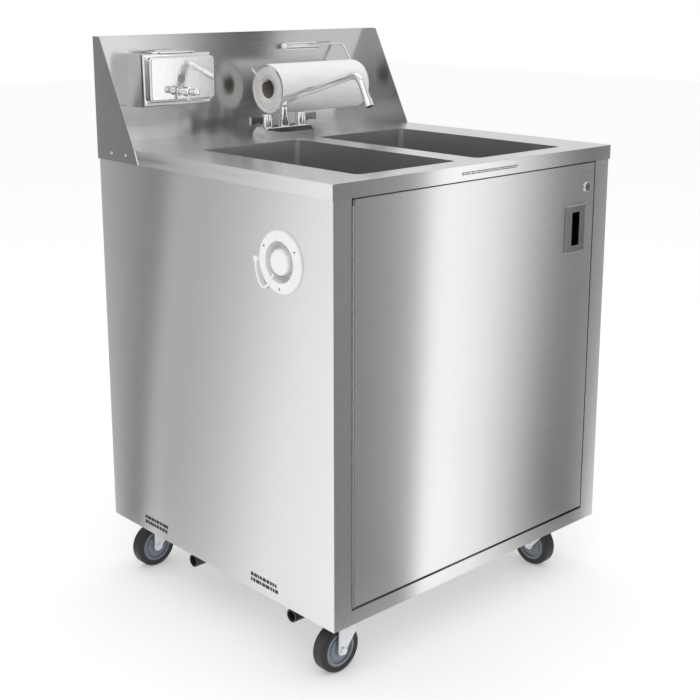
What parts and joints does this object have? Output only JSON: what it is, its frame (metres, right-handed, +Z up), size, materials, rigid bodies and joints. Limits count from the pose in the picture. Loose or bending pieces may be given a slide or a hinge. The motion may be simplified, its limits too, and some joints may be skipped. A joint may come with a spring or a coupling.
{
  "type": "portable handwash sink",
  "caption": "Free-standing wheeled stainless cabinet with two deep basins, a swing faucet, splashes, soap dispenser, towel roll holder, side water inlet and a hinged front door.",
  "frame": {"origin": "on the floor under the cabinet's centre", "axes": "+X to the right seen from the front, +Y to the back, +Z up"},
  "size_m": [0.8397, 0.782, 1.242],
  "materials": {
    "brushed_steel": "brushed, horizontal grain",
    "chrome": "polished",
    "polished_steel": "polished stainless",
    "sight_glass": "dark clear window",
    "paper": "embossed towel paper",
    "white_plastic": "moulded satin",
    "zinc": "bright zinc plate",
    "wheel_plastic": "moulded blue-grey",
    "tyre_rubber": "dark grey rubber",
    "tank_plastic": "rotomoulded polyethylene",
    "black_plastic": "black moulded",
    "red_plastic": "moulded",
    "white_enamel": "enamel"
  },
  "bodies": {
    "cabinet": {"back_panel": "brushed_steel", "backsplash": "brushed_steel", "basin_drains": "brushed_steel", "caster_plates": "zinc", "countertop": "brushed_steel", "drain_pipes": "black_plastic", "fasteners": "zinc", "faucet_body": "chrome", "floor_pan": "brushed_steel", "fresh_water_tank": "tank_plastic", "header_rail": "brushed_steel", "hinge_frame_leaf": "brushed_steel", "hinge_pin": "brushed_steel", "inlet_flange": "white_plastic", "inlet_strap": "white_plastic", "left_basin": "brushed_steel", "left_side_panel": "brushed_steel", "left_side_splash": "brushed_steel", "power_inlet": "black_plastic", "right_basin": "brushed_steel", "right_side_panel": "brushed_steel", "right_side_splash": "brushed_steel", "soap_sight_glass": "sight_glass", "soap_tank": "polished_steel", "soap_valve_body": "chrome", "towel_bracket": "chrome", "towel_wire": "chrome", "waste_pipe": "white_plastic", "waste_water_tank": "tank_plastic", "water_heater": "white_enamel", "water_hoses": "black_plastic", "water_pump": "black_plastic"},
    "door": {"door_skin": "brushed_steel", "door_liner": "brushed_steel", "door_pull": "brushed_steel", "hinge_door_leaf": "brushed_steel", "lock_barrel": "chrome"},
    "door_lock": {"lock_cam": "chrome"},
    "left_handle": {"left_faucet_handle": "chrome"},
    "right_handle": {"right_faucet_handle": "chrome"},
    "spout": {"faucet_spout": "chrome", "aerator": "chrome"},
    "soap_lid": {"soap_lid": "polished_steel"},
    "soap_button": {"soap_push_button": "chrome"},
    "paper_roll": {"towel_roll": "paper"},
    "fill_cap": {"inlet_cap": "white_plastic"},
    "front_drain_handle": {"front_drain_handle": "red_plastic"},
    "rear_drain_handle": {"rear_drain_handle": "red_plastic"},
    "front_left_swivel": {"front_left_fork": "zinc"},
    "front_left_wheel": {"front_left_wheel": "wheel_plastic", "front_left_tyre": "tyre_rubber"},
    "front_right_swivel": {"front_right_fork": "zinc"},
    "front_right_wheel": {"front_right_wheel": "wheel_plastic", "front_right_tyre": "tyre_rubber"},
    "rear_left_swivel": {"rear_left_fork": "zinc"},
    "rear_left_wheel": {"rear_left_wheel": "wheel_plastic", "rear_left_tyre": "tyre_rubber"},
    "rear_right_swivel": {"rear_right_fork": "zinc"},
    "rear_right_wheel": {"rear_right_wheel": "wheel_plastic", "rear_right_tyre": "tyre_rubber"}
  },
  "joints": [
    {"name": "door_hinge", "type": "hinge", "parent": "cabinet", "child": "door", "pos_m": [-0.3625, -0.388, 0.566], "axis": [0, 0, -1], "range_deg": [0, 110]},
    {"name": "lock_turn", "type": "hinge", "parent": "door", "child": "door_lock", "pos_m": [0.336, -0.388, 0.92], "axis": [0, -1, 0], "range_deg": [0, 90]},
    {"name": "left_handle_turn", "type": "hinge", "parent": "cabinet", "child": "left_handle", "pos_m": [-0.051, 0.243, 1.04], "axis": [0, 0, 1], "range_deg": [0, 90]},
    {"name": "right_handle_turn", "type": "hinge", "parent": "cabinet", "child": "right_handle", "pos_m": [0.051, 0.243, 1.04], "axis": [0, 0, -1], "range_deg": [0, 90]},
    {"name": "spout_swing", "type": "hinge", "parent": "cabinet", "child": "spout", "pos_m": [0, 0.243, 1.06], "axis": [0, 0, 1], "range_deg": [-75, 75]},
    {"name": "soap_lid_hinge", "type": "hinge", "parent": "cabinet", "child": "soap_lid", "pos_m": [-0.238, 0.375, 1.205], "axis": [-1, 0, 0], "range_deg": [0, 80]},
    {"name": "soap_push", "type": "slide", "parent": "cabinet", "child": "soap_button", "axis": [0, 1, 0], "range_m": [0, 0.008], "stiffness_N_per_m": 300},
    {"name": "roll_spin", "type": "hinge", "parent": "cabinet", "child": "paper_roll", "pos_m": [0.148, 0.312, 1.109], "axis": [1, 0, 0], "continuous": true},
    {"name": "fill_cap_turn", "type": "hinge", "parent": "cabinet", "child": "fill_cap", "pos_m": [-0.413, -0.242, 0.84], "axis": [-1, 0, 0], "range_deg": [0, 180]},
    {"name": "front_drain_turn", "type": "hinge", "parent": "cabinet", "child": "front_drain_handle", "pos_m": [-0.351, -0.235, 0.11], "axis": [0, 1, 0], "range_deg": [0, 90]},
    {"name": "rear_drain_turn", "type": "hinge", "parent": "cabinet", "child": "rear_drain_handle", "pos_m": [-0.351, 0.101, 0.11], "axis": [0, 1, 0], "range_deg": [0, 90]},
    {"name": "front_left_swivel", "type": "hinge", "parent": "cabinet", "child": "front_left_swivel", "pos_m": [-0.319, -0.327, 0.11], "axis": [0, 0, 1], "continuous": true},
    {"name": "front_left_roll", "type": "hinge", "parent": "front_left_swivel", "child": "front_left_wheel", "pos_m": [-0.354, -0.327, 0.05], "axis": [0, -1, 0], "continuous": true},
    {"name": "front_right_swivel", "type": "hinge", "parent": "cabinet", "child": "front_right_swivel", "pos_m": [0.319, -0.327, 0.11], "axis": [0, 0, 1], "continuous": true},
    {"name": "front_right_roll", "type": "hinge", "parent": "front_right_swivel", "child": "front_right_wheel", "pos_m": [0.319, -0.292, 0.05], "axis": [-1, 0, 0], "continuous": true},
    {"name": "rear_left_swivel", "type": "hinge", "parent": "cabinet", "child": "rear_left_swivel", "pos_m": [-0.319, 0.322, 0.11], "axis": [0, 0, 1], "continuous": true},
    {"name": "rear_left_roll", "type": "hinge", "parent": "rear_left_swivel", "child": "rear_left_wheel", "pos_m": [-0.354, 0.322, 0.05], "axis": [0, -1, 0], "continuous": true},
    {"name": "rear_right_swivel", "type": "hinge", "parent": "cabinet", "child": "rear_right_swivel", "pos_m": [0.319, 0.322, 0.11], "axis": [0, 0, 1], "continuous": true},
    {"name": "rear_right_roll", "type": "hinge", "parent": "rear_right_swivel", "child": "rear_right_wheel", "pos_m": [0.35189, 0.33397, 0.05], "axis": [-0.342, 0.9397, 0], "continuous": true}
  ]
}
